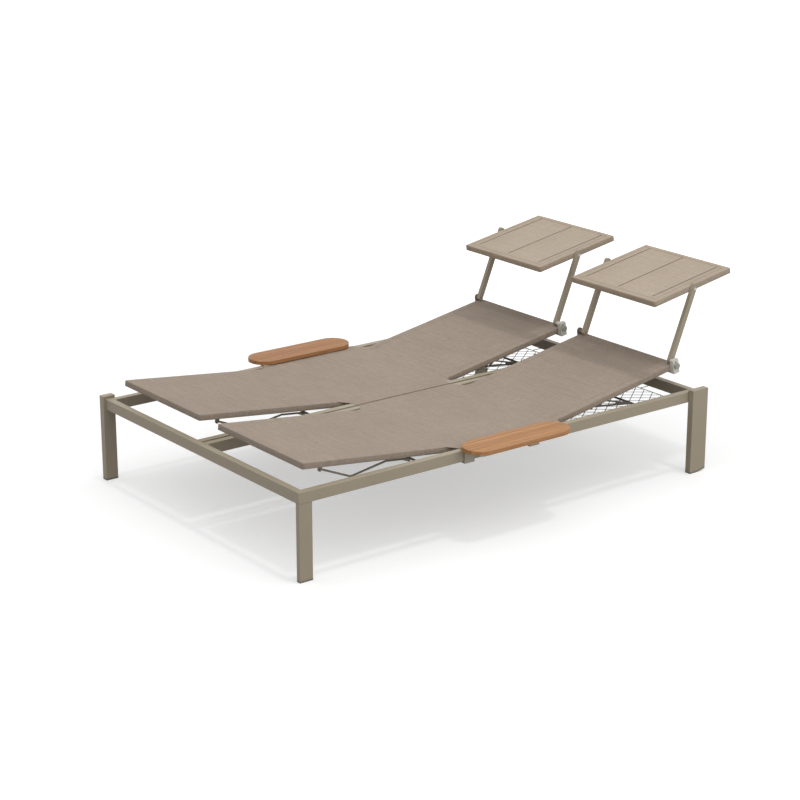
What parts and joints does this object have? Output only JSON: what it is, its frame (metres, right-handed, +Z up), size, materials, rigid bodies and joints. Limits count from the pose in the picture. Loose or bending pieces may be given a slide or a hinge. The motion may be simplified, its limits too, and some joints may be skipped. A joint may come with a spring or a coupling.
{
  "type": "double_chaise_lounger",
  "caption": "Double chaise lounger: two sling beds in one low metal frame, each with a reclining back, a lifting foot section and a tilting sunshade, with clip-on teak side tables.",
  "frame": {"origin": "on the floor, in the middle of the object's footprint", "axes": "+X across the lounger towards its right side seen from the foot, +Y along it from foot to head, +Z up"},
  "size_m": [1.6, 2.2568, 0.8113],
  "materials": {
    "frame_paint": "satin",
    "dark_metal": "satin",
    "clamp_metal": "satin",
    "steel": "satin",
    "sling": "matte",
    "shade_fabric": "matte",
    "teak": "satin",
    "glide_plastic": "matte",
    "knob_plastic": "matte",
    "net_cord": "matte"
  },
  "bodies": {
    "base": {"foot_rail": "frame_paint", "head_rail": "frame_paint", "right_side_rail": "frame_paint", "left_side_rail": "frame_paint", "right_center_rail": "frame_paint", "left_center_rail": "frame_paint", "foot_right_leg": "frame_paint", "foot_left_leg": "frame_paint", "head_right_leg": "frame_paint", "head_left_leg": "frame_paint", "leg_glides": "glide_plastic", "seat_crossbars": "frame_paint", "right_seat_sling": "sling", "left_seat_sling": "sling", "hinge_lugs": "frame_paint", "hinge_pins": "steel", "foot_prop_racks": "dark_metal", "back_prop_racks": "dark_metal", "right_storage_net": "net_cord", "left_storage_net": "net_cord"},
    "right_foot_section": {"right_foot_side_tubes": "frame_paint", "right_foot_cross_tubes": "frame_paint", "right_foot_sling": "sling"},
    "right_foot_brace": {"right_foot_prop": "dark_metal"},
    "right_back_section": {"right_back_side_tubes": "frame_paint", "right_back_cross_tubes": "frame_paint", "right_back_sling": "sling", "right_clamp_block": "clamp_metal", "right_pivot_bracket": "dark_metal"},
    "right_back_brace": {"right_back_prop": "dark_metal"},
    "right_arms": {"right_outer_arm": "frame_paint", "right_inner_arm": "frame_paint", "right_shade_bolts": "steel"},
    "right_shade": {"right_shade_frame": "frame_paint", "right_shade_cover": "shade_fabric"},
    "right_knob": {"right_clamp_knob": "knob_plastic"},
    "right_table": {"right_table_slats": "teak", "right_table_hooks": "clamp_metal"},
    "left_foot_section": {"left_foot_side_tubes": "frame_paint", "left_foot_cross_tubes": "frame_paint", "left_foot_sling": "sling"},
    "left_foot_brace": {"left_foot_prop": "dark_metal"},
    "left_back_section": {"left_back_side_tubes": "frame_paint", "left_back_cross_tubes": "frame_paint", "left_back_sling": "sling", "left_clamp_block": "clamp_metal", "left_pivot_bracket": "dark_metal"},
    "left_back_brace": {"left_back_prop": "dark_metal"},
    "left_arms": {"left_outer_arm": "frame_paint", "left_inner_arm": "frame_paint", "left_shade_bolts": "steel"},
    "left_shade": {"left_shade_frame": "frame_paint", "left_shade_cover": "shade_fabric"},
    "left_knob": {"left_clamp_knob": "knob_plastic"},
    "left_table": {"left_table_slats": "teak", "left_table_hooks": "clamp_metal"}
  },
  "joints": [
    {"name": "right_foot_tilt", "type": "hinge", "parent": "base", "child": "right_foot_section", "pos_m": [0.346, -0.36368, 0.3405], "axis": [-1, 0, 0], "range_deg": [-6.7, 13.3]},
    {"name": "right_foot_brace_swing", "type": "hinge", "parent": "right_foot_section", "child": "right_foot_brace", "pos_m": [0.346, -0.94572, 0.37172], "axis": [-1, 0, 0], "range_deg": [-2.55, 5.07]},
    {"name": "right_recline", "type": "hinge", "parent": "base", "child": "right_back_section", "pos_m": [0.346, 0.16732, 0.3405], "axis": [1, 0, 0], "range_deg": [-10.07, 49.93]},
    {"name": "right_back_brace_swing", "type": "hinge", "parent": "right_back_section", "child": "right_back_brace", "pos_m": [0.346, 0.37376, 0.35045], "axis": [1, 0, 0], "range_deg": [-94.42, 19.04]},
    {"name": "right_arm_swing", "type": "hinge", "parent": "right_back_section", "child": "right_arms", "pos_m": [0.353, 0.78915, 0.47632], "axis": [1, 0, 0], "range_deg": [-25, 60]},
    {"name": "right_shade_tilt", "type": "hinge", "parent": "right_arms", "child": "right_shade", "pos_m": [0.353, 0.90471, 0.76236], "axis": [1, 0, 0], "range_deg": [-45, 45]},
    {"name": "right_knob_turn", "type": "hinge", "parent": "right_back_section", "child": "right_knob", "pos_m": [0.645, 0.79194, 0.46057], "axis": [1, 0, 0], "range_deg": [-180, 180]},
    {"name": "right_table_slide", "type": "slide", "parent": "base", "child": "right_table", "axis": [0, 1, 0], "range_m": [-0.6, 0.6]},
    {"name": "left_foot_tilt", "type": "hinge", "parent": "base", "child": "left_foot_section", "pos_m": [-0.346, -0.36368, 0.3405], "axis": [-1, 0, 0], "range_deg": [-6.7, 13.3]},
    {"name": "left_foot_brace_swing", "type": "hinge", "parent": "left_foot_section", "child": "left_foot_brace", "pos_m": [-0.346, -0.94572, 0.37172], "axis": [-1, 0, 0], "range_deg": [-2.55, 5.07]},
    {"name": "left_recline", "type": "hinge", "parent": "base", "child": "left_back_section", "pos_m": [-0.346, 0.16732, 0.3405], "axis": [1, 0, 0], "range_deg": [-10.07, 49.93]},
    {"name": "left_back_brace_swing", "type": "hinge", "parent": "left_back_section", "child": "left_back_brace", "pos_m": [-0.346, 0.37376, 0.35045], "axis": [1, 0, 0], "range_deg": [-94.42, 19.04]},
    {"name": "left_arm_swing", "type": "hinge", "parent": "left_back_section", "child": "left_arms", "pos_m": [-0.353, 0.78915, 0.47632], "axis": [1, 0, 0], "range_deg": [-25, 60]},
    {"name": "left_shade_tilt", "type": "hinge", "parent": "left_arms", "child": "left_shade", "pos_m": [-0.353, 0.90471, 0.76236], "axis": [1, 0, 0], "range_deg": [-45, 45]},
    {"name": "left_knob_turn", "type": "hinge", "parent": "left_back_section", "child": "left_knob", "pos_m": [-0.047, 0.79194, 0.46057], "axis": [1, 0, 0], "range_deg": [-180, 180]},
    {"name": "left_table_slide", "type": "slide", "parent": "base", "child": "left_table", "axis": [0, 1, 0], "range_m": [-0.6, 0.6]}
  ],
  "couplings": [
    {"joint": "right_foot_brace_swing", "follows": "right_foot_tilt", "ratio": 0.381},
    {"joint": "right_back_brace_swing", "follows": "right_recline", "ratio": -1.891},
    {"joint": "left_foot_brace_swing", "follows": "left_foot_tilt", "ratio": 0.381},
    {"joint": "left_back_brace_swing", "follows": "left_recline", "ratio": -1.891}
  ]
}
